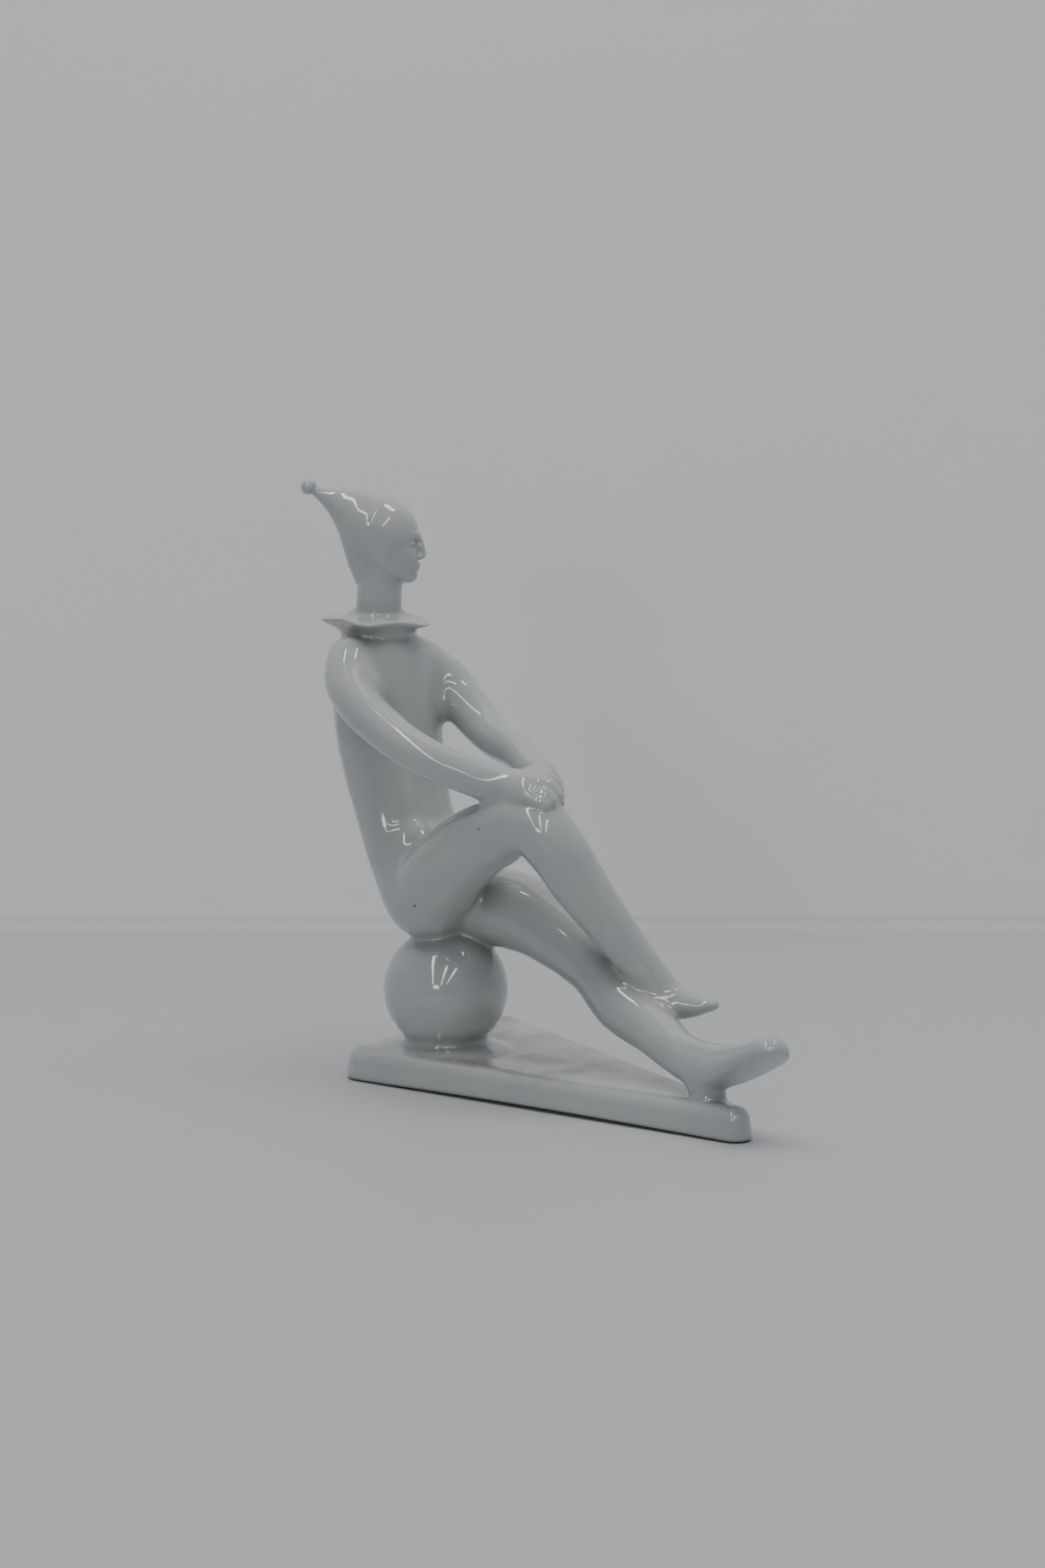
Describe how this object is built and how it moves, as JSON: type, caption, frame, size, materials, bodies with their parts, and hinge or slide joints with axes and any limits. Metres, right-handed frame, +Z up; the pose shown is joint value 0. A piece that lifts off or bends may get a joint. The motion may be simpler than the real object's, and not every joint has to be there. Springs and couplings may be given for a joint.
{
  "type": "porcelain figurine",
  "caption": "Glazed porcelain figurine of a clown in a pointed cap and ruff, sitting on a ball on a wedge-shaped base with its hands on one raised knee.",
  "frame": {"origin": "on the flat underside of the base plate, straight below the centre of the ball", "axes": "+X runs along the base from the ball to the tip under the standing foot, +Y is the figure's left, +Z is up"},
  "size_m": [0.2047, 0.0918, 0.2084],
  "materials": {
    "glazed_porcelain": "white glazed porcelain, high gloss"
  },
  "bodies": {
    "root": {"base_plate": "glazed_porcelain", "ball": "glazed_porcelain", "torso": "glazed_porcelain", "right_leg": "glazed_porcelain", "left_leg": "glazed_porcelain", "right_arm": "glazed_porcelain", "left_arm": "glazed_porcelain", "right_hand": "glazed_porcelain", "left_hand": "glazed_porcelain", "neck_ruff": "glazed_porcelain", "head": "glazed_porcelain", "cap": "glazed_porcelain", "cap_bobble": "glazed_porcelain"}
  },
  "joints": []
}
